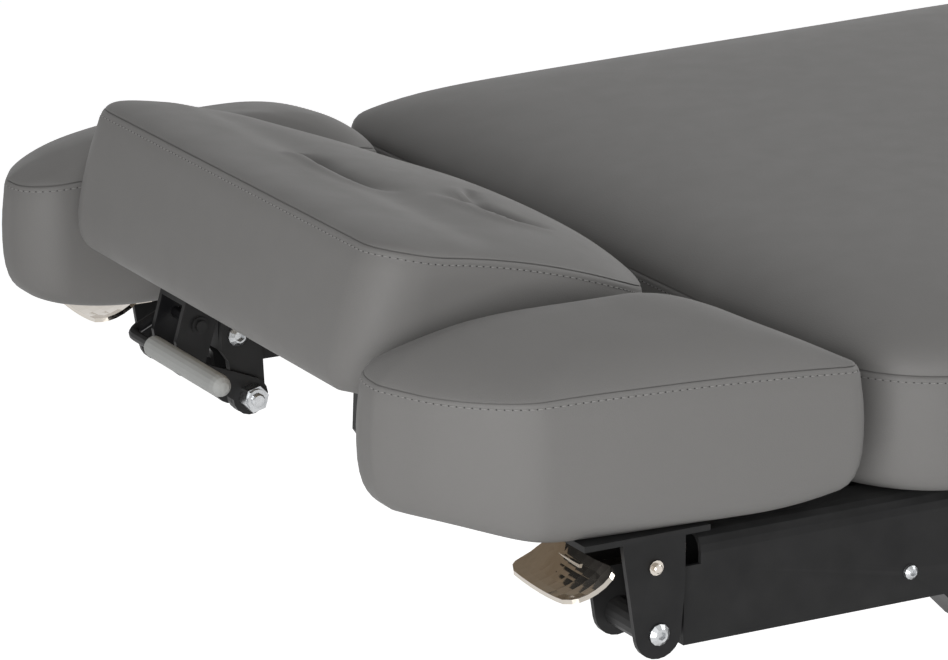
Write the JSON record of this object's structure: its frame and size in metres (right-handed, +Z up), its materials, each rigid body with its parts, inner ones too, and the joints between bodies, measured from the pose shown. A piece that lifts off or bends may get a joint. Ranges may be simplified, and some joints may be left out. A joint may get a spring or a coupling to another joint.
{
  "type": "facial bed",
  "caption": "Padded treatment bed with back, seat and leg sections on a lifting column, a tilting headrest with release handle, and drop-down armrests with chrome levers.",
  "frame": {"origin": "on the floor, at the centre of the bed's outline seen from above", "axes": "+X along the bed towards the feet, +Y across it towards the lying client's left, +Z up"},
  "size_m": [1.93, 0.77, 0.7607],
  "materials": {
    "grey_vinyl": "satin",
    "plywood": "matte",
    "black_paint": "satin",
    "zinc": "satin",
    "polished_chrome": "polished",
    "grey_rubber": "matte",
    "black_rubber": "matte",
    "grey_plastic": "matte",
    "black_plastic": "satin",
    "white_nylon": "satin"
  },
  "bodies": {
    "base": {"base_plate": "black_paint", "base_cover": "grey_plastic", "power_inlet": "black_plastic", "column_outer": "black_paint", "column_glide": "white_nylon", "levelling_foot_head_right": "black_rubber", "levelling_foot_head_left": "black_rubber", "levelling_foot_foot_right": "black_rubber", "levelling_foot_foot_left": "black_rubber"},
    "lift": {"column_inner": "zinc", "lift_head_plate": "black_paint", "seat_rail_right": "black_paint", "seat_rail_left": "black_paint", "seat_front_bar": "black_paint", "seat_rear_bar": "black_paint", "seat_board": "plywood", "seat_cushion": "grey_vinyl", "back_hinge_shaft": "zinc", "leg_hinge_shaft": "zinc"},
    "back": {"back_rail_right": "black_paint", "back_rail_left": "black_paint", "back_head_bar": "black_paint", "back_cross_plate": "black_paint", "back_drive_bar": "black_paint", "back_board": "plywood", "back_cushion": "grey_vinyl", "rail_screw_right": "zinc", "rail_screw_left": "zinc", "headrest_arm_right": "black_paint", "headrest_arm_left": "black_paint", "headrest_arm_bolt_right": "zinc", "headrest_arm_bolt_left": "zinc"},
    "headrest": {"headrest_cushion": "grey_vinyl", "headrest_board": "plywood", "headrest_latch_bracket": "black_paint", "headrest_plain_bracket": "black_paint", "headrest_pivot_bolt_right": "zinc", "headrest_pivot_bolt_left": "zinc"},
    "headrest_handle": {"headrest_handle_rod": "black_paint", "headrest_handle_grip": "grey_rubber"},
    "leg": {"leg_rail_right": "black_paint", "leg_rail_left": "black_paint", "leg_drive_bar": "black_paint", "leg_foot_bar": "black_paint", "leg_board": "plywood", "leg_cushion": "grey_vinyl"},
    "back_actuator": {"back_drive_housing": "black_plastic"},
    "back_actuator_rod": {"back_drive_rod": "polished_chrome"},
    "leg_actuator": {"leg_drive_housing": "black_plastic"},
    "leg_actuator_rod": {"leg_drive_rod": "polished_chrome"},
    "armrest_right": {"armrest_cushion_right": "grey_vinyl", "armrest_board_right": "plywood", "armrest_bracket_right": "black_paint", "armrest_pivot_bolt_right": "zinc"},
    "armrest_right_lever": {"armrest_lever_right": "polished_chrome"},
    "armrest_left": {"armrest_cushion_left": "grey_vinyl", "armrest_board_left": "plywood", "armrest_bracket_left": "black_paint", "armrest_pivot_bolt_left": "zinc"},
    "armrest_left_lever": {"armrest_lever_left": "polished_chrome"}
  },
  "joints": [
    {"name": "lift_slide", "type": "slide", "parent": "base", "child": "lift", "axis": [0, 0, 1], "range_m": [0, 0.22]},
    {"name": "back_tilt", "type": "hinge", "parent": "lift", "child": "back", "pos_m": [0.085, 0, 0.65], "axis": [0, 1, 0], "range_deg": [0, 65]},
    {"name": "leg_tilt", "type": "hinge", "parent": "lift", "child": "leg", "pos_m": [0.46, 0, 0.5347], "axis": [0, 1, 0], "range_deg": [0, 70]},
    {"name": "headrest_tilt", "type": "hinge", "parent": "back", "child": "headrest", "pos_m": [-0.8527, 0, 0.5492], "axis": [0, -1, 0], "range_deg": [0, 30]},
    {"name": "headrest_release", "type": "hinge", "parent": "headrest", "child": "headrest_handle", "pos_m": [-0.892, 0, 0.60697], "axis": [0, 1, 0], "range_deg": [0, 20], "stiffness_Nm_per_rad": 1, "springref_deg": -11.46},
    {"name": "back_actuator_swing", "type": "hinge", "parent": "lift", "child": "back_actuator", "pos_m": [0.26, 0.15, 0.43], "axis": [0, 1, 0], "range_deg": [0, 32.6]},
    {"name": "back_actuator_stroke", "type": "slide", "parent": "back_actuator", "child": "back_actuator_rod", "axis": [-0.9984, 0, 0.0567], "range_m": [0, 0.1802]},
    {"name": "leg_actuator_swing", "type": "hinge", "parent": "lift", "child": "leg_actuator", "pos_m": [0.26, -0.15, 0.4327], "axis": [0, 1, 0], "range_deg": [0, 35.1]},
    {"name": "leg_actuator_stroke", "type": "slide", "parent": "leg_actuator", "child": "leg_actuator_rod", "axis": [0.9914, 0, 0.1307], "range_m": [-0.1515, 0]},
    {"name": "armrest_right_tilt", "type": "hinge", "parent": "back", "child": "armrest_right", "pos_m": [-0.808, -0.3365, 0.52], "axis": [0, -1, 0], "range_deg": [0, 75]},
    {"name": "armrest_right_release", "type": "hinge", "parent": "armrest_right", "child": "armrest_right_lever", "pos_m": [-0.811, -0.3365, 0.565], "axis": [0, -1, 0], "range_deg": [0, 15], "stiffness_Nm_per_rad": 1.2, "springref_deg": -14.32},
    {"name": "armrest_left_tilt", "type": "hinge", "parent": "back", "child": "armrest_left", "pos_m": [-0.808, 0.3365, 0.52], "axis": [0, -1, 0], "range_deg": [0, 75]},
    {"name": "armrest_left_release", "type": "hinge", "parent": "armrest_left", "child": "armrest_left_lever", "pos_m": [-0.811, 0.3365, 0.565], "axis": [0, -1, 0], "range_deg": [0, 15], "stiffness_Nm_per_rad": 1.2, "springref_deg": -14.32}
  ],
  "couplings": [
    {"joint": "back_actuator_swing", "follows": "back_tilt", "ratio": 0.5},
    {"joint": "back_actuator_stroke", "follows": "back_tilt", "m_per_rad": 0.1584},
    {"joint": "leg_actuator_swing", "follows": "leg_tilt", "ratio": 0.5},
    {"joint": "leg_actuator_stroke", "follows": "leg_tilt", "m_per_rad": -0.1236}
  ]
}
